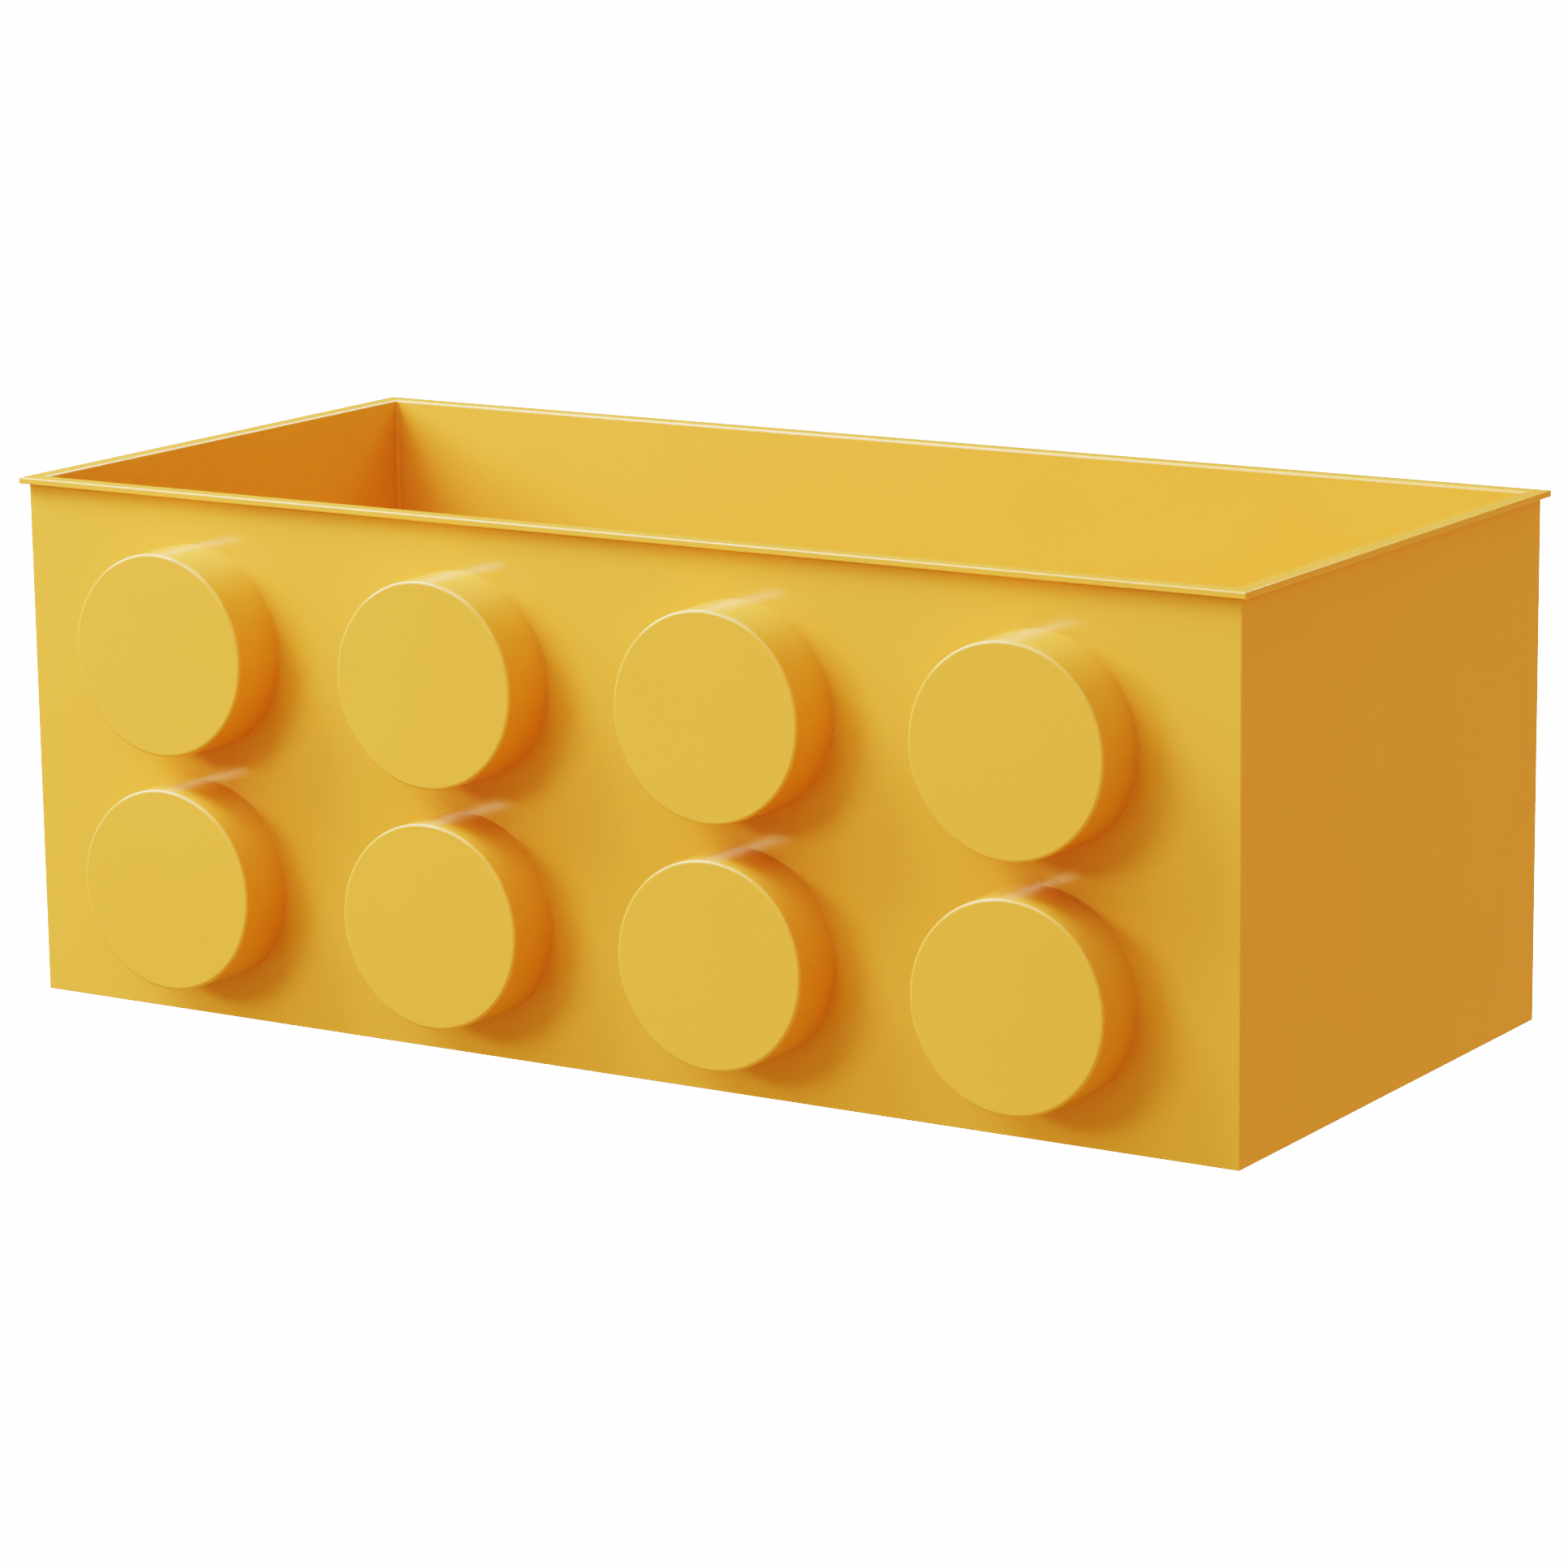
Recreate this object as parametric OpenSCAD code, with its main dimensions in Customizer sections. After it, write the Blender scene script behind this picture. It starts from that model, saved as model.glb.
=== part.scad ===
// Open storage box with round studs on its front and a magnetic back that holds it on a steel door.
// All sizes are in millimetres. The origin is the middle of the base, +Z is up, the studs face -Y.

/* [Tub] */
// Outside width of the tub, left to right
body_w = 220; // [200:1:300]
// Outside depth of the tub, front to back
body_d = 100; // [60:0.5:160]
// Height of the tub with its rim
body_h = 85; // [82:0.1:130]
// Thickness of the four walls
wall_t = 2; // [1.6:0.1:3]
// Thickness of the floor
floor_t = 2; // [1.6:0.1:4]
// Rounding of the outer edges
edge_r = 0.3; // [0.2:0.1:0.8]
// Rounding of the corners and the floor's edges inside
inner_r = 0.6; // [0.3:0.1:2]
// Rounding of the mouth's inner edge
mouth_r = 0.5; // [0.2:0.1:0.8]

/* [Rim] */
// How far the rim stands out past the walls
rim_out = 1.2; // [0.8:0.1:3]
// Thickness of the rim
rim_t = 1.1; // [0.8:0.1:2.5]
// Rounding of the rim's edges
rim_r = 0.25; // [0.1:0.05:0.35]

/* [Studs] */
// Studs side by side
stud_columns = 4; // [2:1:4]
// Studs one above the other
stud_rows = 2; // [1:1:2]
// Diameter of a stud at its front
stud_d = 32.5; // [26:0.5:34]
// How much wider a stud is at the wall, all round
stud_draft = 0.1; // [0.1:0.1:1]
// How far a stud stands out from the front
stud_h = 10; // [6:0.1:14]
// Distance between the columns of studs
stud_pitch_x = 51.3; // [40:0.1:58]
// Distance between the rows of studs
stud_pitch_z = 37.9; // [36.5:0.1:40]
// Height of the middle of the stud pattern
stud_mid_z = 41.3; // [39:0.1:60]
// Wall thickness of a stud cap
stud_wall = 1.6; // [1.2:0.1:2.5]
// Rounding of a stud's front edge
stud_edge_r = 0.5; // [0.3:0.1:1.1]

/* [Snap pegs] */
// Diameter of the pegs behind a stud
peg_d = 5; // [4:0.1:6]
// Distance between the two pegs of a stud
peg_pitch = 16; // [12:0.5:17]
// Gap between a peg and its hole, all round
peg_clear = 0.1; // [0.05:0.05:0.25]
// How far a barb catches behind the wall
peg_barb = 0.5; // [0.3:0.1:0.8]
// Length of a barb's tapered nose
peg_nose = 2.2; // [1.5:0.1:4]
// Width of the slit that lets a peg spring
peg_slit = 1.2; // [0.8:0.1:1.6]
// Length of that slit from the peg's tip
peg_slit_l = 8; // [6:0.5:9]

/* [Magnets] */
// Magnets side by side
magnet_columns = 3; // [2:1:3]
// Magnets one above the other
magnet_rows = 2; // [1:1:2]
// Diameter of a disc magnet
magnet_d = 20; // [14:0.5:22]
// Thickness of a disc magnet
magnet_t = 3; // [2.5:0.5:6]
// Bevel of a magnet's edges
magnet_bevel = 0.3; // [0.1:0.1:0.6]
// Distance from the cover's ends to the middle of the end magnets
magnet_end = 34; // [26:1:44]
// Distance from the cover's upper and lower edges to the middle of the magnets
magnet_edge = 16.1; // [15:0.1:18]
// Gap between a magnet and its ring, all round
magnet_clear = 0.15; // [0.05:0.05:0.4]

/* [Rear cover] */
// Distance from the tub's sides to the cover
cover_side = 10; // [4:0.5:12]
// Height of the cover's lower edge
cover_low = 10; // [5:0.5:14]
// Distance from the rim down to the cover
cover_high = 9; // [2:0.5:12]
// Corner radius of the cover
cover_r = 6; // [4:0.5:12]
// Rounding of the cover's outer edge
cover_edge_r = 1; // [0.5:0.1:1.5]
// Thickness of the cover's side walls
cover_wall = 1.8; // [1.6:0.1:2.5]
// Thickness of the skin that the magnets pull through
cover_skin = 0.8; // [0.6:0.1:1.5]
// Thickness of the rings and ribs inside
rib_t = 1.2; // [0.8:0.1:2]
// Gap between the ribs and the tub's back
rib_gap = 0.2; // [0.1:0.1:0.5]

/* [Grip pad] */
// Thickness of the grip pad
pad_t = 0.6; // [0.4:0.1:1.5]
// Depth of the seat that the pad lies in
pad_seat = 0.4; // [0.2:0.1:0.4]
// Distance from the cover's outline to the pad
pad_border = 4; // [3:0.5:8]
// Gap between the pad and its seat, all round
pad_clear = 0.2; // [0.1:0.1:0.5]

/* [Screws] */
// Diameter of a screw's shank
screw_d = 2.6; // [2:0.1:3]
// Diameter of a screw's countersunk head
head_d = 5; // [4.5:0.1:5.5]
// Length of a screw with its head
screw_l = 5; // [4.6:0.1:5.2]
// Gap round a shank in the cover
screw_clear = 0.2; // [0.1:0.05:0.4]
// Gap round a shank in its boss
pilot_clear = 0.02; // [0.01:0.01:0.05]
// Depth of a boss's hole past the screw's tip
pilot_spare = 0.2; // [0.1:0.1:0.3]
// Outer diameter of a boss on the tub's back
boss_d = 6.4; // [5.6:0.1:8]
// Thickness of the cover under a screw's head
seat_t = 2; // [1.8:0.1:2.4]
// Distance from the cover's ends to the end screws
screw_inset = 9; // [7:0.5:12]
// Depth of the cross recess in a screw's head
recess_depth = 0.8; // [0.4:0.1:1]

/* [Hidden] */
$fn = 64;
// Overlap of a cut past the face that it opens
cut = 1;
plastic = [0.88, 0.66, 0.13];

stud_r = stud_d / 2;
stud_count = stud_columns * stud_rows;
front_y = -body_d / 2;
back_y = body_d / 2;

magnet_count = magnet_columns * magnet_rows;
cover_w = body_w - 2 * cover_side;
cover_h = body_h - rim_t - cover_high - cover_low;
cover_mid_z = cover_low + cover_h / 2;
cover_depth = magnet_t + cover_skin + pad_seat;
pad_w = cover_w - 2 * pad_border;
pad_h = cover_h - 2 * pad_border;
pad_r = cover_r - pad_border / 2;
magnet_pitch_x = (cover_w - 2 * magnet_end) / (magnet_columns - 1);
magnet_pitch_z = magnet_rows > 1 ? (cover_h - 2 * magnet_edge) / (magnet_rows - 1) : 0;

// Height of a boss: the cover's seat stops rib_gap short of it
boss_l = magnet_t + cover_skin - seat_t - rib_gap;
head_l = (head_d - screw_d) / 2;
pilot_depth = screw_l - seat_t - rib_gap + pilot_spare;

// Places as [x, z] on the front, and on the back from the middle of the cover
stud_places = [
    for (row = [0:stud_rows - 1], column = [0:stud_columns - 1])
        [(column - (stud_columns - 1) / 2) * stud_pitch_x,
         stud_mid_z + ((stud_rows - 1) / 2 - row) * stud_pitch_z]
];
magnet_places = [
    for (row = [0:magnet_rows - 1], column = [0:magnet_columns - 1])
        [(column - (magnet_columns - 1) / 2) * magnet_pitch_x,
         ((magnet_rows - 1) / 2 - row) * magnet_pitch_z]
];
// Screws stand between the columns of magnets, level with them, and one at each end
screw_places = concat(
    [for (row = [0:magnet_rows - 1], gap = [0:magnet_columns - 2])
        [(gap - (magnet_columns - 2) / 2) * magnet_pitch_x,
         ((magnet_rows - 1) / 2 - row) * magnet_pitch_z]],
    [for (side = [-1, 1]) [side * (cover_w / 2 - screw_inset), 0]]
);
screw_count = len(screw_places);

function numbered(name, count) = [for (i = [1:count]) str(name, "_", i)];

// Puts its children on the front wall, with z pointing out of it
module on_front(place) {
    translate([place[0], front_y, place[1]]) rotate([90, 0, 0]) children();
}

// Puts its children on the back wall, with z pointing out of it
module on_back(place) {
    translate([place[0], back_y, cover_mid_z + place[1]]) rotate([-90, 0, 0]) children();
}

// Rectangle about the origin with round corners
module round_rect(w, d, r) {
    square([w - 2 * r, d], center = true);
    square([w, d - 2 * r], center = true);
    for (x = [-1, 1], y = [-1, 1])
        translate([x * (w / 2 - r), y * (d / 2 - r)]) circle(r);
}

// Block on z = 0 whose twelve edges are rounded, made where three rounded bars cross
module round_block(w, d, h, r) {
    intersection() {
        linear_extrude(h) round_rect(w, d, r);
        translate([0, d / 2, h / 2]) rotate([90, 0, 0]) linear_extrude(d) round_rect(w, h, r);
        translate([-w / 2, 0, h / 2]) rotate([90, 0, 90]) linear_extrude(w) round_rect(d, h, r);
    }
}

// Half outline of a plate whose upper edge is rounded, from the axis outwards
module plate_side(reach, t, r) {
    square([reach - r, t]);
    square([reach, t - r]);
    translate([reach - r, t - r]) circle(r);
}

// Plate on z = 0 with round corners and a rounded upper edge
module round_plate(w, d, t, corner_r, r) {
    for (x = [-1, 1], y = [-1, 1])
        translate([x * (w / 2 - corner_r), y * (d / 2 - corner_r), 0])
            rotate_extrude() plate_side(corner_r, t, r);
    for (turn = [0, 180]) rotate(turn) {
        translate([0, d / 2 - corner_r, 0]) rotate([90, 0, 0])
            linear_extrude(d - 2 * corner_r) plate_side(w / 2, t, r);
        translate([-w / 2 + corner_r, 0, 0]) rotate([90, 0, 90])
            linear_extrude(w - 2 * corner_r) plate_side(d / 2, t, r);
    }
}

// Outline of a cut that rounds both edges of an opening w wide, from its start at y = 0 upwards
module mouth_outline(w, r) {
    difference() {
        translate([-w / 2 - r, 0]) square([w + 2 * r, r + cut]);
        for (side = [-1, 1]) translate([side * (w / 2 + r), 0]) circle(r);
    }
}

// Cut that rounds the upper edge of a rectangular opening, made where two such cuts cross
module flared_mouth(w, d, r) {
    intersection() {
        translate([0, d / 2 + r, 0]) rotate([90, 0, 0]) linear_extrude(d + 2 * r) mouth_outline(w, r);
        translate([-w / 2 - r, 0, 0]) rotate([90, 0, 90]) linear_extrude(w + 2 * r) mouth_outline(d, r);
    }
}

// Moulded tub: walls and floor, flat rim, peg holes in front and screw bosses behind
module tub() {
    color(plastic) difference() {
        union() {
            round_block(body_w, body_d, body_h, edge_r);
            translate([0, 0, body_h - rim_t])
                round_block(body_w + 2 * rim_out, body_d + 2 * rim_out, rim_t, rim_r);
            for (place = screw_places) on_back(place) translate([0, 0, -wall_t / 2])
                cylinder(d = boss_d, h = boss_l + wall_t / 2);
        }
        translate([0, 0, floor_t])
            round_block(body_w - 2 * wall_t, body_d - 2 * wall_t, body_h, inner_r);
        translate([0, 0, body_h - mouth_r])
            flared_mouth(body_w - 2 * wall_t, body_d - 2 * wall_t, mouth_r);
        for (place = stud_places) on_front(place) peg_holes();
        for (place = screw_places) on_back(place) translate([0, 0, boss_l - pilot_depth])
            cylinder(d = screw_d + 2 * pilot_clear, h = pilot_depth + cut);
    }
}

// The two holes through the front wall that a stud's pegs snap into
module peg_holes() {
    for (side = [-1, 1]) translate([side * peg_pitch / 2, 0, -wall_t - cut])
        cylinder(d = peg_d + 2 * peg_clear, h = wall_t + 2 * cut);
}

// Half section of a stud cap: rounded front edge, side that widens to the wall, hollow inside
module stud_section() {
    lean = atan(stud_draft / stud_h);
    arc_mid = [stud_r + stud_edge_r * (tan(lean) - 1 / cos(lean)), stud_h - stud_edge_r];
    difference() {
        union() {
            polygon([
                [0, 0],
                [stud_r + stud_draft, 0],
                arc_mid + stud_edge_r * [cos(lean), sin(lean)],
                arc_mid + [0, stud_edge_r],
                [0, stud_h],
            ]);
            translate(arc_mid) circle(stud_edge_r);
        }
        square([stud_r - stud_wall, stud_h - stud_wall]);
    }
}

// Split peg that springs through the front wall and catches behind it
module snap_peg() {
    difference() {
        union() {
            translate([0, 0, -wall_t])
                cylinder(d = peg_d, h = wall_t + stud_h - stud_wall / 2);
            translate([0, 0, -wall_t - peg_nose])
                cylinder(r1 = peg_d / 2 - peg_barb, r2 = peg_d / 2 + peg_barb, h = peg_nose);
        }
        translate([0, 0, peg_slit_l / 2 - wall_t - peg_nose - cut / 2])
            cube([peg_slit, peg_d + 2 * peg_barb + cut, peg_slit_l + cut], center = true);
    }
}

// Hollow stud that snaps onto the front wall
module stud_cap(place) {
    color(plastic) on_front(place) {
        rotate_extrude() stud_section();
        for (side = [-1, 1]) translate([side * peg_pitch / 2, 0, 0]) snap_peg();
    }
}

// Disc magnet between the cover's skin and the tub's back
module magnet(place) {
    color("silver") on_back(place) rotate_extrude() polygon([
        [0, 0],
        [magnet_d / 2 - magnet_bevel, 0],
        [magnet_d / 2, magnet_bevel],
        [magnet_d / 2, magnet_t - magnet_bevel],
        [magnet_d / 2 - magnet_bevel, magnet_t],
        [0, magnet_t],
    ]);
}

// Stiffening ribs across the cover, along each row and column of magnets
module cover_ribs() {
    rib_h = magnet_t + cover_skin / 2 - rib_gap;
    for (z = [for (place = magnet_places) if (place[0] == magnet_places[0][0]) place[1]])
        translate([0, -z, rib_gap + rib_h / 2])
            cube([cover_w - cover_wall, rib_t, rib_h], center = true);
    for (x = [for (place = magnet_places) if (place[1] == magnet_places[0][1]) place[0]])
        translate([x, 0, rib_gap + rib_h / 2])
            cube([rib_t, cover_h - cover_wall, rib_h], center = true);
}

// Shallow moulded cover that holds the magnets against the tub's back
module rear_cover() {
    ring_r = magnet_d / 2 + magnet_clear + rib_t;
    inner_h = magnet_t + cover_skin / 2 - rib_gap;
    color(plastic) difference() {
        union() {
            difference() {
                on_back([0, 0]) round_plate(cover_w, cover_h, cover_depth, cover_r, cover_edge_r);
                on_back([0, 0]) translate([0, 0, -cut]) linear_extrude(magnet_t + cut)
                    round_rect(cover_w - 2 * cover_wall, cover_h - 2 * cover_wall, cover_r - cover_wall);
            }
            on_back([0, 0]) cover_ribs();
            for (place = magnet_places) on_back(place)
                translate([0, 0, rib_gap]) cylinder(r = ring_r, h = inner_h);
            for (place = screw_places) on_back(place)
                translate([0, 0, boss_l + rib_gap]) cylinder(d = boss_d + 2 * rib_t, h = seat_t);
        }
        for (place = magnet_places) on_back(place)
            translate([0, 0, -cut]) cylinder(d = magnet_d + 2 * magnet_clear, h = magnet_t + cut);
        for (place = screw_places) on_back(place) {
            translate([0, 0, -cut]) cylinder(d = boss_d + 2 * rib_gap, h = boss_l + rib_gap + cut);
            cylinder(d = screw_d + 2 * screw_clear, h = cover_depth + cut);
            translate([0, 0, cover_depth - pad_seat - head_l])
                cylinder(d1 = screw_d, d2 = head_d, h = head_l);
        }
        on_back([0, 0]) translate([0, 0, cover_depth - pad_seat]) linear_extrude(pad_seat + cut)
            round_rect(pad_w + 2 * pad_clear, pad_h + 2 * pad_clear, pad_r + pad_clear);
    }
}

// Soft pad on the cover that keeps the box from slipping and hides the screws
module grip_pad() {
    color("dimgray") on_back([0, 0]) translate([0, 0, cover_depth - pad_seat])
        linear_extrude(pad_t) round_rect(pad_w, pad_h, pad_r);
}

// Countersunk screw with a cross recess, flush with the seat of the pad
module cover_screw(place) {
    color("gray") on_back(place) translate([0, 0, cover_depth - pad_seat]) difference() {
        union() {
            translate([0, 0, -screw_l]) cylinder(d = screw_d, h = screw_l);
            translate([0, 0, -head_l]) cylinder(d1 = screw_d, d2 = head_d, h = head_l);
        }
        for (turn = [0, 90]) rotate(turn)
            cube([head_d / 2, head_d / 7, 2 * recess_depth], center = true);
    }
}

tub();
rear_cover();
grip_pad();
for (i = [0:stud_count - 1])
    stud_cap(stud_places[i]);
for (i = [0:magnet_count - 1])
    magnet(magnet_places[i]);
for (i = [0:screw_count - 1])
    cover_screw(screw_places[i]);
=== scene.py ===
# %% [markdown]
# # A storage box with round studs
# The part is an open plastic box that hangs on a steel door by magnets in its back.
# Eight hollow studs are snapped onto its front wall, and a shallow cover behind holds the magnets.
# The CAD model gives every piece and every size. This lesson gives the pieces their finishes,
# adds the small marks that moulding leaves, and sets up a soft studio with the photo's camera.

# %% Load the CAD frame
import math

import bmesh
import bpy
from mathutils import Matrix, Vector


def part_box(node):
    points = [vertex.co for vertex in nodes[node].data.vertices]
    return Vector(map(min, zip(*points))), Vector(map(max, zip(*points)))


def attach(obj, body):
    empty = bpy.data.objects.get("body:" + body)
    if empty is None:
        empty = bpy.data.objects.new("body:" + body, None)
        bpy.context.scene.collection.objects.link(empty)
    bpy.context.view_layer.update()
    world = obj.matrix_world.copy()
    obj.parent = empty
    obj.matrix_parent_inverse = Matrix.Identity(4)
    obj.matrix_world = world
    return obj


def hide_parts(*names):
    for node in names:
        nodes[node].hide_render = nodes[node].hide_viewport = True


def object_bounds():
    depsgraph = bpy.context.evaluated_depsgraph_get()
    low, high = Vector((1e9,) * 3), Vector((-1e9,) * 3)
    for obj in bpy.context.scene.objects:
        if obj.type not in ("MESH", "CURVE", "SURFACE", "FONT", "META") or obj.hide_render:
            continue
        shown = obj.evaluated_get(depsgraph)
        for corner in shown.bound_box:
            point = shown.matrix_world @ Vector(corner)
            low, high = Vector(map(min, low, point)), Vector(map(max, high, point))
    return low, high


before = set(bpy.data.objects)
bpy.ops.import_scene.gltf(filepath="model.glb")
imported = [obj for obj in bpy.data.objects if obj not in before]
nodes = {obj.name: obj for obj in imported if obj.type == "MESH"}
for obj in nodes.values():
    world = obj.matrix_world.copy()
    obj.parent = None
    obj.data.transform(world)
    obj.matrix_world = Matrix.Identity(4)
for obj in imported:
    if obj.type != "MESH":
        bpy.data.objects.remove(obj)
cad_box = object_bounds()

MM = 0.001
scene = bpy.context.scene
print("CAD pieces:", len(nodes), "box:", [round(v / MM, 1) for v in (cad_box[1] - cad_box[0])], "mm")

# %% [markdown]
# ## The camera
# The photo was taken with a long lens from the right and a little above, and it leans slightly.
# A camera could be aimed with a Track To constraint, but that can't hold the lean. So the three axes
# of the camera are worked out from the azimuth, elevation and roll, and written into its matrix.

# %% Camera at the photo's angle
AZIMUTH = math.radians(32.290)
ELEVATION = math.radians(12.098)
ROLL = math.radians(-0.724)
LENS = 129.71
SENSOR = 36.0
DISTANCE = 0.9031
AIM_RIGHT = 0.00147
AIM_UP = -0.00602
CLIP_END = 30.0

back = Vector((math.sin(AZIMUTH) * math.cos(ELEVATION),
               -math.cos(AZIMUTH) * math.cos(ELEVATION),
               math.sin(ELEVATION)))
level = Vector((math.cos(AZIMUTH), math.sin(AZIMUTH), 0))
upright = back.cross(level)
right = level * math.cos(ROLL) + upright * math.sin(ROLL)
up = upright * math.cos(ROLL) - level * math.sin(ROLL)
middle = Vector((0, 0, (cad_box[0].z + cad_box[1].z) / 2))

camera_data = bpy.data.cameras.new("photo_camera")
camera_data.lens = LENS
camera_data.sensor_width = SENSOR
camera_data.clip_end = CLIP_END
camera = bpy.data.objects.new("photo_camera", camera_data)
scene.collection.objects.link(camera)
place = middle + back * DISTANCE + right * AIM_RIGHT + up * AIM_UP
camera.matrix_world = Matrix((
    (right.x, up.x, back.x, place.x),
    (right.y, up.y, back.y, place.y),
    (right.z, up.z, back.z, place.z),
    (0, 0, 0, 1),
))
scene.camera = camera
print("camera at", [round(v, 3) for v in place])

# %% [markdown]
# ## Shared effects as node groups
# Moulded plastic and rubber both carry the grain of the steel mould. Outward edges that hands touch
# get polished, and on the plastic they are also lightened as a painted highlight. Inward corners, which
# no cloth reaches, keep a little dust on the rubber, and on the plastic they are darkened as painted
# shade. Each effect is made once, as a node group with named sockets, and placed in every material
# that needs it with its own numbers.

# %% Helper for building a group
def start_group(name, inputs, outputs):
    """A new shader group with float inputs [(name, value)] and float outputs [name]."""
    group = bpy.data.node_groups.new(name, "ShaderNodeTree")
    for label, value in inputs:
        socket = group.interface.new_socket(label, in_out="INPUT", socket_type="NodeSocketFloat")
        socket.default_value = value
    for label in outputs:
        group.interface.new_socket(label, in_out="OUTPUT", socket_type="NodeSocketFloat")
    return group, group.nodes.new("NodeGroupInput"), group.nodes.new("NodeGroupOutput")


def math_node(tree, operation, a, b=None):
    """A Math node whose inputs are sockets or plain numbers."""
    node = tree.nodes.new("ShaderNodeMath")
    node.operation = operation
    for index, value in enumerate((a, b)):
        if isinstance(value, (int, float)):
            node.inputs[index].default_value = value
        elif value is not None:
            tree.links.new(value, node.inputs[index])
    return node.outputs[0]


def remap(tree, value, low, high, new_low, new_high):
    """A Map Range node: low to high becomes new_low to new_high, clamped."""
    node = tree.nodes.new("ShaderNodeMapRange")
    tree.links.new(value, node.inputs["Value"])
    for label, number in (("From Min", low), ("From Max", high),
                          ("To Min", new_low), ("To Max", new_high)):
        node.inputs[label].default_value = number
    return node.outputs["Result"]


# %% Mould grain
GRAIN_DETAIL = 2.0
WAVE_DETAIL = 1.0
WAVE_WEIGHT = 2.0
TONE_LOW, TONE_HIGH = 0.3, 0.7


def make_grain():
    """Fine pitted grain on long soft waves, in the object's own metres."""
    group, given, result = start_group(
        "Mould grain",
        [("Grain per metre", 2600.0), ("Waves per metre", 45.0)],
        ["Height", "Tone"])
    place = group.nodes.new("ShaderNodeTexCoord").outputs["Object"]
    grain = group.nodes.new("ShaderNodeTexNoise")
    grain.inputs["Detail"].default_value = GRAIN_DETAIL
    waves = group.nodes.new("ShaderNodeTexNoise")
    waves.inputs["Detail"].default_value = WAVE_DETAIL
    for noise, density in ((grain, "Grain per metre"), (waves, "Waves per metre")):
        group.links.new(place, noise.inputs["Vector"])
        group.links.new(given.outputs[density], noise.inputs["Scale"])
    soft = math_node(group, "MULTIPLY", waves.outputs["Fac"], WAVE_WEIGHT)
    group.links.new(math_node(group, "ADD", grain.outputs["Fac"], soft), result.inputs["Height"])
    tone = remap(group, waves.outputs["Fac"], TONE_LOW, TONE_HIGH, 0.0, 1.0)
    group.links.new(tone, result.inputs["Tone"])
    return group


grain_group = make_grain()
print("group", grain_group.name, "ready")

# %% Polished edges with painted highlight, corners with painted shade and dust
NEAR_RAYS = 6
EDGE_OPEN, EDGE_SHUT = 0.95, 0.5
CORNER_OPEN, CORNER_SHUT = 0.9, 0.4
PATCHES_PER_METRE = 160.0
PATCH_LOW, PATCH_HIGH = 0.35, 0.65
PATCH_LEAST = 0.6


def add_nearness(group, reach, inwards):
    """How freely short rays leave the surface: 1 in the open, less where they soon meet a face."""
    rays = group.nodes.new("ShaderNodeAmbientOcclusion")
    rays.inside = inwards
    rays.only_local = True
    rays.samples = NEAR_RAYS
    group.links.new(reach, rays.inputs["Distance"])
    return rays.outputs["AO"]


def make_polish_and_highlight():
    """A patchy mask along outward edges, where rays sent into the piece soon come out again."""
    # On the plastic this mask carries a painted highlight as well as polish along the edges; on the
    # rubber and metal it marks wear only.
    group, given, result = start_group("Edge polish and highlight", [("Reach", 0.8 * MM)], ["Mask"])
    openness = add_nearness(group, given.outputs["Reach"], True)
    edge = remap(group, openness, EDGE_OPEN, EDGE_SHUT, 0.0, 1.0)
    place = group.nodes.new("ShaderNodeTexCoord").outputs["Object"]
    breaks = group.nodes.new("ShaderNodeTexNoise")
    breaks.inputs["Scale"].default_value = PATCHES_PER_METRE
    group.links.new(place, breaks.inputs["Vector"])
    patchy = remap(group, breaks.outputs["Fac"], PATCH_LOW, PATCH_HIGH, PATCH_LEAST, 1.0)
    group.links.new(math_node(group, "MULTIPLY", edge, patchy), result.inputs["Mask"])
    return group


def make_corners():
    """A mask along inward corners, where rays sent outwards soon meet another face."""
    # On the plastic this mask paints shade into the corners; on the rubber it places dust.
    group, given, result = start_group("Corner shade and dust", [("Reach", 1.5 * MM)], ["Mask"])
    openness = add_nearness(group, given.outputs["Reach"], False)
    corner = remap(group, openness, CORNER_OPEN, CORNER_SHUT, 0.0, 1.0)
    group.links.new(corner, result.inputs["Mask"])
    return group


polish_highlight_group = make_polish_and_highlight()
corner_group = make_corners()
print("groups", polish_highlight_group.name, "and", corner_group.name, "ready")

# %% [markdown]
# ## The yellow plastic
# The tub, studs and cover are moulded from one satin plastic. A plain colour would look like paint,
# so the tone drifts a little over the walls, the edges are lighter, partly from polish and partly as a
# painted highlight, the corners are darkened as painted shade and made rougher, and the mould's grain
# breaks up the gloss. The numbers that are equal all over sit on the shader's own sockets.

# %% Helpers for a material
# A Mix node lists its sockets for numbers and vectors before those for colours.
MIX_FACTOR, MIX_FIRST, MIX_SECOND, MIX_RESULT = 0, 6, 7, 2


def start_material(name):
    """A material with one Principled shader: returns the material, its tree and the shader."""
    material = bpy.data.materials.new(name)
    material.use_nodes = True
    tree = material.node_tree
    shader = tree.nodes["Principled BSDF"]
    return material, tree, shader


def place_group(tree, group, **values):
    """Puts a group into a material, with its inputs set by name (spaces as underscores)."""
    node = tree.nodes.new("ShaderNodeGroup")
    node.node_tree = group
    for label, value in values.items():
        node.inputs[label.replace("_", " ")].default_value = value
    return node


def mix_colours(tree, mask, first, second):
    """A Mix node from the first colour, a socket or four numbers, to the second, by the mask."""
    node = tree.nodes.new("ShaderNodeMix")
    node.data_type = "RGBA"
    tree.links.new(mask, node.inputs[MIX_FACTOR])
    for index, colour in ((MIX_FIRST, first), (MIX_SECOND, second)):
        if isinstance(colour, tuple):
            node.inputs[index].default_value = colour
        else:
            tree.links.new(colour, node.inputs[index])
    return node.outputs[MIX_RESULT]


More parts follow.
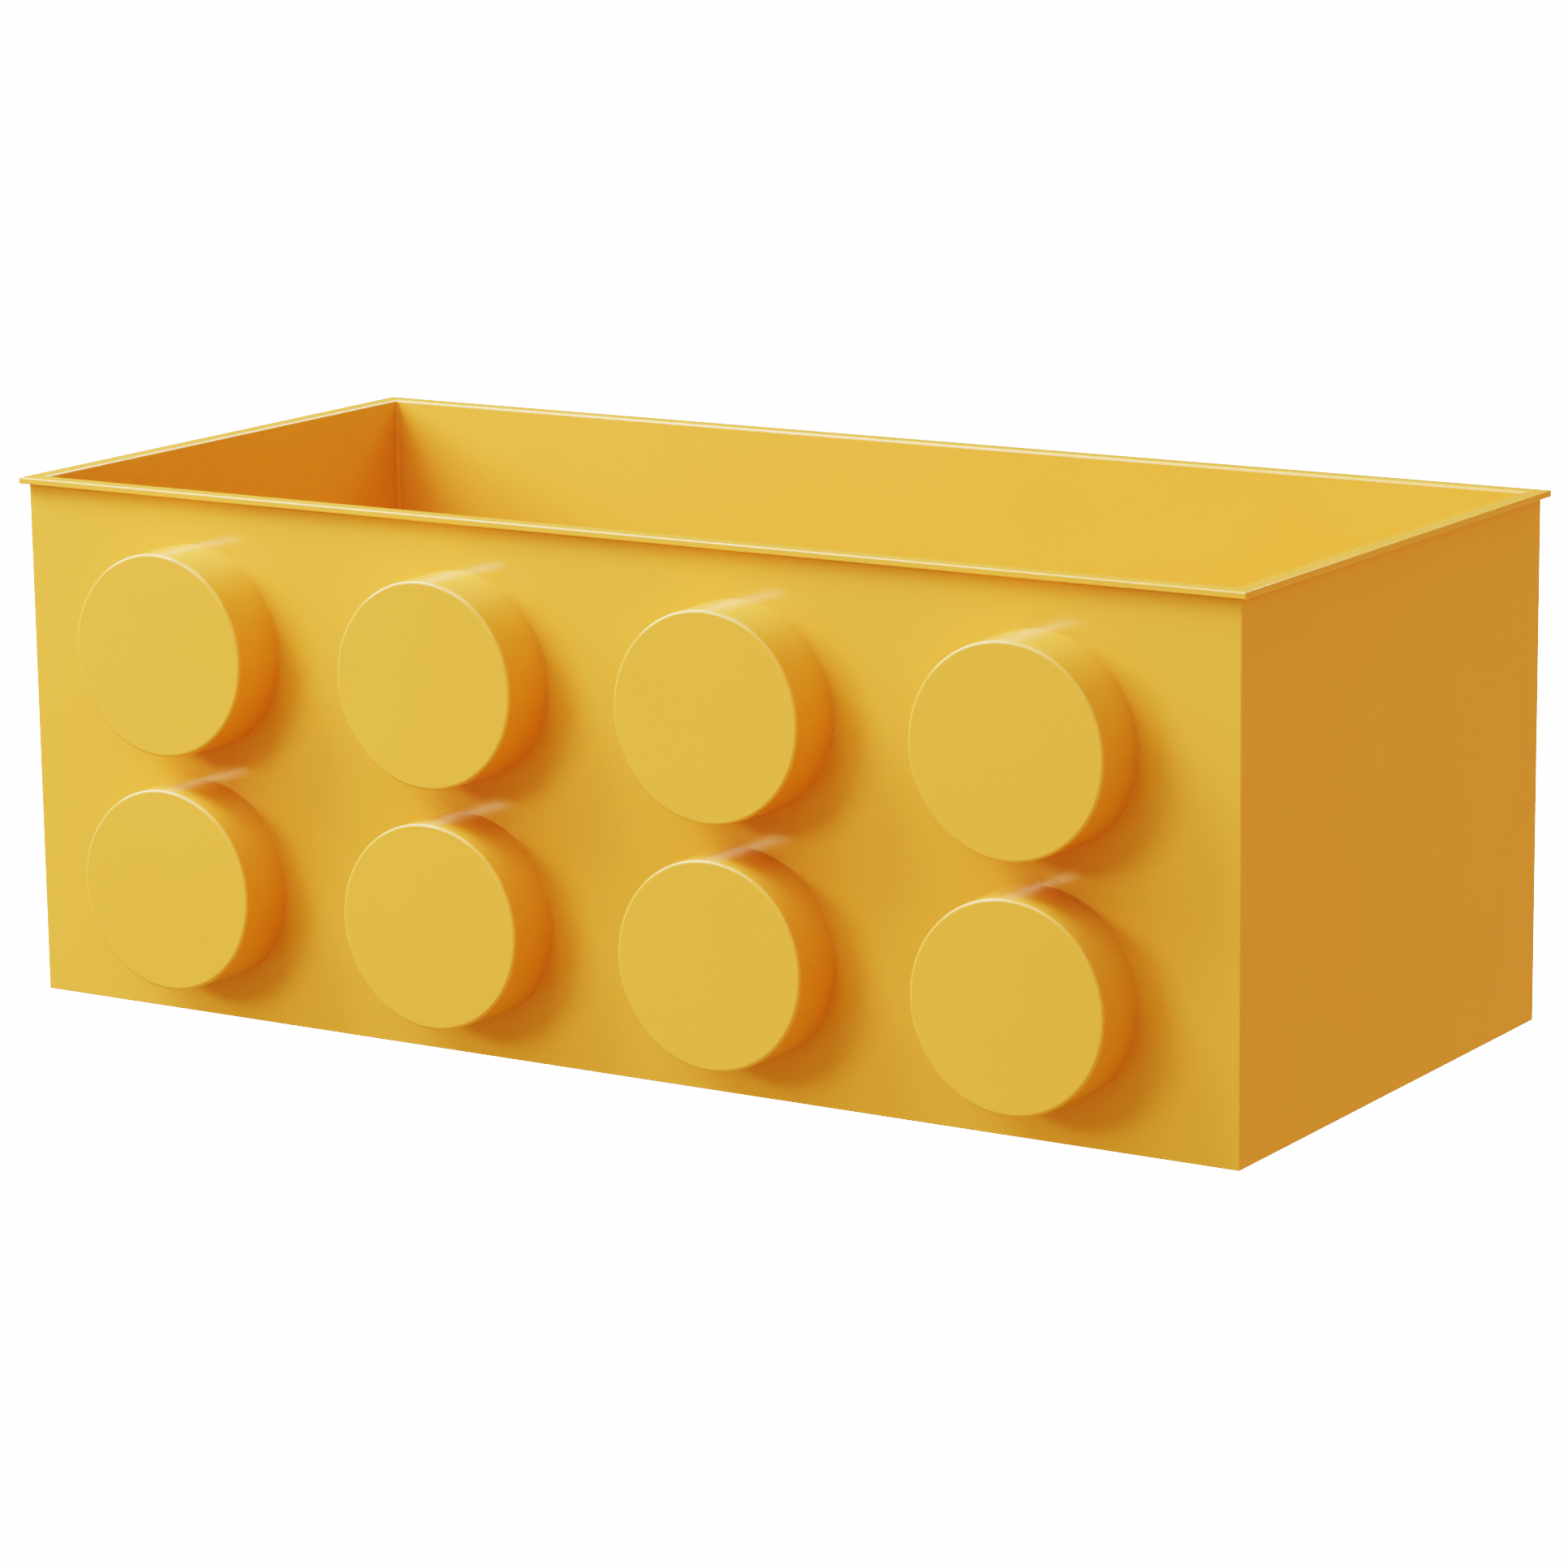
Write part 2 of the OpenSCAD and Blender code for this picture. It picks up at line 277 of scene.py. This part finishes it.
def add_bump(tree, shader, height, strength, distance):
    """Bends the shader's normal by a height."""
    bump = tree.nodes.new("ShaderNodeBump")
    bump.inputs["Strength"].default_value = strength
    bump.inputs["Distance"].default_value = distance
    tree.links.new(height, bump.inputs["Height"])
    tree.links.new(bump.outputs["Normal"], shader.inputs["Normal"])


# %% Satin yellow plastic
YELLOW = (0.76, 0.36, 0.078, 1)
YELLOW_DEEP = (0.745, 0.349, 0.075, 1)
# Paler colour for outward edges: partly polish wear, partly a painted highlight.
YELLOW_EDGE_HIGHLIGHT = (0.86, 0.43, 0.12, 1)
# Darker colour for inward corners: painted shade.
YELLOW_PAINTED_SHADE = (0.56, 0.23, 0.042, 1)
PLASTIC_ROUGH = (0.145, 0.175)
PLASTIC_IOR = 1.5
CORNER_SHADE_SHARE = 0.5
CORNER_ROUGH = 0.15


def make_plastic():
    """Yellow plastic whose tone drifts, with edges lightened by polish and a painted highlight, and
    corners darkened by painted shade and made rougher.
    """
    material, tree, shader = start_material("satin_yellow_plastic")
    grain = place_group(tree, grain_group, Grain_per_metre=2600.0, Waves_per_metre=38.0)
    polish_highlight = place_group(tree, polish_highlight_group, Reach=0.5 * MM)
    corner = place_group(tree, corner_group, Reach=1.4 * MM)
    tone = mix_colours(tree, grain.outputs["Tone"], YELLOW_DEEP, YELLOW)
    # Outward edges turn paler: partly polish wear, partly a painted highlight.
    worn_and_highlit = mix_colours(tree, polish_highlight.outputs["Mask"], tone, YELLOW_EDGE_HIGHLIGHT)
    # Inward corners turn darker as painted shade; below, they also get rougher.
    painted_shade = math_node(tree, "MULTIPLY", corner.outputs["Mask"], CORNER_SHADE_SHARE)
    tree.links.new(mix_colours(tree, painted_shade, worn_and_highlit, YELLOW_PAINTED_SHADE), shader.inputs["Base Color"])
    gloss = remap(tree, grain.outputs["Tone"], 0.0, 1.0, *PLASTIC_ROUGH)
    dusty = math_node(tree, "MULTIPLY", corner.outputs["Mask"], CORNER_ROUGH)
    tree.links.new(math_node(tree, "ADD", gloss, dusty), shader.inputs["Roughness"])
    shader.inputs["IOR"].default_value = PLASTIC_IOR
    add_bump(tree, shader, grain.outputs["Height"], strength=0.08, distance=0.1 * MM)
    return material


plastic = make_plastic()
print("material", plastic.name)

# %% Give the plastic to its pieces
def finish_node(name, material):
    """Puts one material on a CAD node."""
    mesh = nodes[name].data
    mesh.materials.clear()
    mesh.materials.append(material)


plastic_names = [name for name in nodes if name in ("tub", "rear_cover") or name.startswith("stud_cap")]
for name in plastic_names:
    finish_node(name, plastic)
print("plastic on", len(plastic_names), "pieces")

# %% [markdown]
# ## Rubber and metal
# The grip pad is a thin sheet of dark grey rubber, worn paler on its points and dusty between them.
# The disc magnets are plated with nickel and the screws with zinc. They are hidden in the back, but
# each has its finish for a view with the cover off.

# %% Grip rubber
RUBBER = (0.047, 0.05, 0.058, 1)
RUBBER_DEEP = (0.04, 0.043, 0.05, 1)
RUBBER_WORN = (0.08, 0.086, 0.1, 1)
RUBBER_ROUGH = (0.72, 0.84)
DUST = (0.1, 0.1, 0.1, 1)
DUST_SHARE = 0.3


def make_rubber():
    """Dark grey rubber, paler on its points and dusty between them."""
    material, tree, shader = start_material("grip_rubber_grey")
    grain = place_group(tree, grain_group, Grain_per_metre=1500.0, Waves_per_metre=60.0)
    polish_highlight = place_group(tree, polish_highlight_group, Reach=0.4 * MM)
    corner = place_group(tree, corner_group, Reach=0.4 * MM)
    tone = mix_colours(tree, grain.outputs["Tone"], RUBBER_DEEP, RUBBER)
    worn_and_highlit = mix_colours(tree, polish_highlight.outputs["Mask"], tone, RUBBER_WORN)
    dust = math_node(tree, "MULTIPLY", corner.outputs["Mask"], DUST_SHARE)
    tree.links.new(mix_colours(tree, dust, worn_and_highlit, DUST), shader.inputs["Base Color"])
    rough = remap(tree, grain.outputs["Tone"], 0.0, 1.0, *RUBBER_ROUGH)
    tree.links.new(rough, shader.inputs["Roughness"])
    add_bump(tree, shader, grain.outputs["Height"], strength=0.5, distance=0.2 * MM)
    return material


rubber = make_rubber()
finish_node("grip_pad", rubber)
print("material", rubber.name)

# %% Nickel and zinc
NICKEL_DARK, NICKEL_LIGHT = (0.56, 0.54, 0.50, 1), (0.68, 0.66, 0.62, 1)
NICKEL_ROUGH = (0.18, 0.28)
ZINC_DARK, ZINC_LIGHT = (0.42, 0.43, 0.44, 1), (0.58, 0.59, 0.60, 1)
ZINC_ROUGH = (0.28, 0.42)


def make_metal(name, dark, light, rough):
    """Plated metal whose tone and gloss drift between two values, with light edges."""
    material, tree, shader = start_material(name)
    grain = place_group(tree, grain_group, Grain_per_metre=3500.0, Waves_per_metre=300.0)
    polish_highlight = place_group(tree, polish_highlight_group, Reach=0.3 * MM)
    tone = mix_colours(tree, grain.outputs["Tone"], dark, light)
    tree.links.new(mix_colours(tree, polish_highlight.outputs["Mask"], tone, light), shader.inputs["Base Color"])
    gloss = remap(tree, grain.outputs["Tone"], 0.0, 1.0, *rough)
    tree.links.new(gloss, shader.inputs["Roughness"])
    shader.inputs["Metallic"].default_value = 1.0
    add_bump(tree, shader, grain.outputs["Height"], strength=0.15, distance=0.05 * MM)
    return material


nickel = make_metal("nickel_plating", NICKEL_DARK, NICKEL_LIGHT, NICKEL_ROUGH)
zinc = make_metal("zinc_plating", ZINC_DARK, ZINC_LIGHT, ZINC_ROUGH)
for name in nodes:
    if name.startswith("magnet"):
        finish_node(name, nickel)
    if name.startswith("cover_screw"):
        finish_node(name, zinc)
print("materials", nickel.name, zinc.name)

# %% [markdown]
# ## The grip pad
# A grip sheet is pressed with small raised points, so that the rubber bites on a painted door.
# A bump texture would stay flat at a glancing view, and an Array modifier can't follow the round
# corners. So the sheet is built from its outline, and a loop sets a low pyramid at each place of
# a staggered grid. It stands for the plain sheet of the CAD model and keeps its box.

# %% Outline of the pad
PAD_ROUND = 4 * MM
PAD_EDGE = 0.1 * MM
PAD_MARGIN = 1 * MM
CORNER_STEPS = 8
PIP_PITCH = 3 * MM
PIP_REACH = 1.25 * MM
PIP_TOP = 0.6
PIP_RISE = 0.22 * MM
PIP_SINK = 0.02 * MM

pad_low, pad_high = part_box("grip_pad")
pad_middle = (pad_low + pad_high) / 2
pad_half_w = (pad_high.x - pad_low.x) / 2
pad_half_h = (pad_high.z - pad_low.z) / 2


def pad_outline(inset):
    """Points (x, z) round the pad about its middle, moved inwards by the inset."""
    points = []
    for quarter, (side, top) in enumerate(((1, 1), (-1, 1), (-1, -1), (1, -1))):
        for step in range(CORNER_STEPS + 1):
            turn = math.radians(90 * quarter + 90 * step / CORNER_STEPS)
            points.append((side * (pad_half_w - PAD_ROUND) + (PAD_ROUND - inset) * math.cos(turn),
                           top * (pad_half_h - PAD_ROUND) + (PAD_ROUND - inset) * math.sin(turn)))
    return points


def pip_places():
    """Middles (x, z) of the points, in staggered rows that keep clear of the pad's edge."""
    places = []
    rows = int(2 * pad_half_h / PIP_PITCH)
    columns = int(2 * pad_half_w / PIP_PITCH)
    for row in range(-rows, rows + 1):
        for column in range(-columns, columns + 1):
            if (row + column) % 2 == 0:
                x, z = column * PIP_PITCH / 2, row * PIP_PITCH / 2
                past_x = max(abs(x) - (pad_half_w - PAD_ROUND), 0)
                past_z = max(abs(z) - (pad_half_h - PAD_ROUND), 0)
                if math.hypot(past_x, past_z) < PAD_ROUND - PIP_REACH - PAD_MARGIN:
                    places.append((x, z))
    return places


print("pad", round(2 * pad_half_w / MM, 1), "x", round(2 * pad_half_h / MM, 1), "mm")

# %% Sheet with raised points
def close_rings(build, rings):
    """Joins rings of points into one closed skin: walls between neighbours, a face at each end."""
    rings = [[build.verts.new(point) for point in ring] for ring in rings]
    for lower, upper in zip(rings, rings[1:]):
        for index in range(len(lower)):
            after = (index + 1) % len(lower)
            build.faces.new((lower[index], lower[after], upper[after], upper[index]))
    build.faces.new(rings[0])
    build.faces.new(rings[-1])


def finish_piece(build, name, material):
    """Turns a bmesh into a piece that rides on the box."""
    bmesh.ops.recalc_face_normals(build, faces=build.faces)
    mesh = bpy.data.meshes.new(name)
    build.to_mesh(mesh)
    build.free()
    mesh.materials.append(material)
    piece = bpy.data.objects.new(name, mesh)
    scene.collection.objects.link(piece)
    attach(piece, "root")
    return piece


def make_pad():
    """The sheet, and a low pyramid with a flat top at each place, all in one mesh."""
    build = bmesh.new()
    sheet_y = pad_high.y - PIP_RISE
    steps = ((0.0, pad_low.y), (0.0, sheet_y - PAD_EDGE), (PAD_EDGE, sheet_y))
    close_rings(build, [[(pad_middle.x + x, y, pad_middle.z + z) for x, z in pad_outline(inset)]
                        for inset, y in steps])
    for x, z in pip_places():
        rings = []
        for reach, y in ((PIP_REACH, sheet_y - PIP_SINK), (PIP_REACH * PIP_TOP, pad_high.y)):
            rings.append([(pad_middle.x + x + reach * dx, y, pad_middle.z + z + reach * dz)
                          for dx, dz in ((1, 0), (0, 1), (-1, 0), (0, -1))])
        close_rings(build, rings)
    piece = finish_piece(build, "grip_pad_sheet", rubber)
    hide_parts("grip_pad")
    return piece


grip_sheet = make_pad()
print("raised points:", len(pip_places()), "faces:", len(grip_sheet.data.polygons))

# %% [markdown]
# ## Ejector marks
# Steel pins push the moulded box off its core, and each leaves a faint ring on the floor inside.
# The rings are far too flat to cut into the solid. So each one is a low profile of radius and height
# turned about its middle, in the same plastic, with its foot sunk into the floor of the box.

# %% Rings on the inside floor
FLOOR_TOP = 2 * MM
PIN_PROFILE = ((4.0, -1.0), (4.0, 0.01), (3.9, 0.05), (3.65, 0.06), (3.5, 0.02))
PIN_PLACES = ((-78, -28), (0, -28), (78, -28), (-78, 28), (0, 28), (78, 28))
PIN_STEPS = 48


def make_pin_marks():
    """All the rings in one mesh: a profile in millimetres turned about each place."""
    build = bmesh.new()
    turns = [2 * math.pi * step / PIN_STEPS for step in range(PIN_STEPS)]
    for pin_x, pin_y in PIN_PLACES:
        close_rings(build, [[(pin_x * MM + radius * MM * math.cos(turn),
                              pin_y * MM + radius * MM * math.sin(turn),
                              FLOOR_TOP + rise * MM) for turn in turns]
                            for radius, rise in PIN_PROFILE])
    return finish_piece(build, "ejector_marks", plastic)


pin_marks = make_pin_marks()
print("ejector marks:", len(PIN_PLACES))

# %% [markdown]
# ## The studio
# The photo shows the box cut out on pure white. The floor is a large white sheet that glows for the
# camera only, so that it comes out white without lighting the box from below. What the box itself
# sees is a softer room: pale in front, dark behind, and warm below, most of all on the right, where
# the lit floor throws light back. One evenly white world would wash out the rim and the studs.

# %% White floor
FLOOR_SIZE = 10.0
FLOOR_GLOW = 10.0
FLOOR_GAP = 0.2 * MM
PAPER = (0.9, 0.9, 0.9, 1)


def make_floor_material():
    """White paper that glows where the camera sees it."""
    material = bpy.data.materials.new("white_floor")
    material.use_nodes = True
    tree = material.node_tree
    tree.nodes.clear()
    paper = tree.nodes.new("ShaderNodeBsdfDiffuse")
    paper.inputs["Color"].default_value = PAPER
    glow = tree.nodes.new("ShaderNodeEmission")
    glow.inputs["Strength"].default_value = FLOOR_GLOW
    bright = tree.nodes.new("ShaderNodeAddShader")
    tree.links.new(paper.outputs[0], bright.inputs[0])
    tree.links.new(glow.outputs[0], bright.inputs[1])
    choose = tree.nodes.new("ShaderNodeMixShader")
    tree.links.new(tree.nodes.new("ShaderNodeLightPath").outputs["Is Camera Ray"], choose.inputs[0])
    tree.links.new(paper.outputs[0], choose.inputs[1])
    tree.links.new(bright.outputs[0], choose.inputs[2])
    tree.links.new(choose.outputs[0], tree.nodes.new("ShaderNodeOutputMaterial").inputs["Surface"])
    return material


half = FLOOR_SIZE / 2
floor_mesh = bpy.data.meshes.new("floor")
floor_mesh.from_pydata(
    [(-half, -half, 0), (half, -half, 0), (half, half, 0), (-half, half, 0)], [], [(0, 1, 2, 3)])
floor = bpy.data.objects.new("floor", floor_mesh)
floor.location.z = cad_box[0].z - FLOOR_GAP
scene.collection.objects.link(floor)
floor_mesh.materials.append(make_floor_material())
floor.visible_diffuse = False
floor.visible_glossy = False
floor.visible_shadow = False
print("floor", FLOOR_SIZE, "m wide")

# %% The room round the box
ROOM_FRONT = (0.385, 0.408, 0.408, 1)
ROOM_BEHIND = (0.02, 0.02, 0.02, 1)
ROOM_BELOW = (0.51, 0.425, 0.195, 1)
ROOM_BELOW_RIGHT = (1.2, 0.646, 0.282, 1)
HORIZON = (-0.15, 0.15)
FADE = (0.2, 0.7)


def make_room():
    """A world that the camera sees as white, and the box as the four colours above."""
    world = bpy.data.worlds.new("soft_room")
    world.use_nodes = True
    tree = world.node_tree
    tree.nodes.clear()
    direction = tree.nodes.new("ShaderNodeSeparateXYZ")
    tree.links.new(tree.nodes.new("ShaderNodeTexCoord").outputs["Generated"], direction.inputs[0])
    above = remap(tree, direction.outputs["Z"], *HORIZON, 0.0, 1.0)
    behind = remap(tree, direction.outputs["Y"], *FADE, 0.0, 1.0)
    rightwards = remap(tree, direction.outputs["X"], *FADE, 0.0, 1.0)
    upper = mix_colours(tree, behind, ROOM_FRONT, ROOM_BEHIND)
    lower = mix_colours(tree, rightwards, ROOM_BELOW, ROOM_BELOW_RIGHT)
    room = tree.nodes.new("ShaderNodeBackground")
    tree.links.new(mix_colours(tree, above, lower, upper), room.inputs["Color"])
    white = tree.nodes.new("ShaderNodeBackground")
    white.inputs["Strength"].default_value = FLOOR_GLOW
    choose = tree.nodes.new("ShaderNodeMixShader")
    tree.links.new(tree.nodes.new("ShaderNodeLightPath").outputs["Is Camera Ray"], choose.inputs[0])
    tree.links.new(room.outputs[0], choose.inputs[1])
    tree.links.new(white.outputs[0], choose.inputs[2])
    tree.links.new(choose.outputs[0], tree.nodes.new("ShaderNodeOutputWorld").inputs["Surface"])
    return world


scene.world = make_room()
print("world", scene.world.name)

# %% [markdown]
# ## Soft lamps
# The shadows fall to the lower right, so the two strongest lamps stand far round to the left. A lamp
# in front and one overhead open up the front wall, a weak one on the right reaches the far corner
# inside, and the one behind brightens the rim and the back. Seen from the camera, the top of a stud
# mirrors the wall, and the wall mirrors what stands low in front of it to the left. The low lamp there
# draws the streak along each stud. It is wide, because every stud mirrors another part of it.

# %% Lamps round the box
LAMPS = (
    ("left_lamp", 80, 30, 0.45, 0.45, 9.7),
    ("key_lamp", 62, 50, 0.45, 0.45, 11.8),
    ("front_lamp", 15, 45, 0.50, 0.50, 2.1),
    ("top_lamp", 20, 72, 0.50, 0.50, 2.6),
    ("right_lamp", -40, 60, 0.50, 0.50, 1.1),
    ("spark_lamp", 31, 16, 0.38, 0.15, 2.7),
    ("rear_lamp", 180, 45, 0.50, 0.50, 7.6),
)
LAMP_DISTANCE = 1.1


def add_softbox(name, turn, rise, width, height, power):
    """An area lamp: turn runs from the front to the left, rise upwards, both in degrees."""
    turn, rise = math.radians(turn), math.radians(rise)
    towards = Vector((-math.sin(turn) * math.cos(rise), -math.cos(turn) * math.cos(rise), math.sin(rise)))
    data = bpy.data.lights.new(name, "AREA")
    data.shape = "RECTANGLE"
    data.size = width
    data.size_y = height
    data.energy = power
    lamp = bpy.data.objects.new(name, data)
    scene.collection.objects.link(lamp)
    lamp.location = middle + towards * LAMP_DISTANCE
    lamp.rotation_euler = towards.to_track_quat("Z", "Y").to_euler()


for lamp_values in LAMPS:
    add_softbox(*lamp_values)
print("lamps:", len(LAMPS))

# %% [markdown]
# ## Colour of the picture
# The photo has the deep shadows and soft highlights of a film-like tone curve: lit plastic turns
# yellow and shaded plastic turns orange. The Filmic view with its strongest contrast does the same.

# %% View transform
scene.view_settings.view_transform = "Filmic"
scene.view_settings.look = "Very High Contrast"
print("view", scene.view_settings.view_transform, scene.view_settings.look)
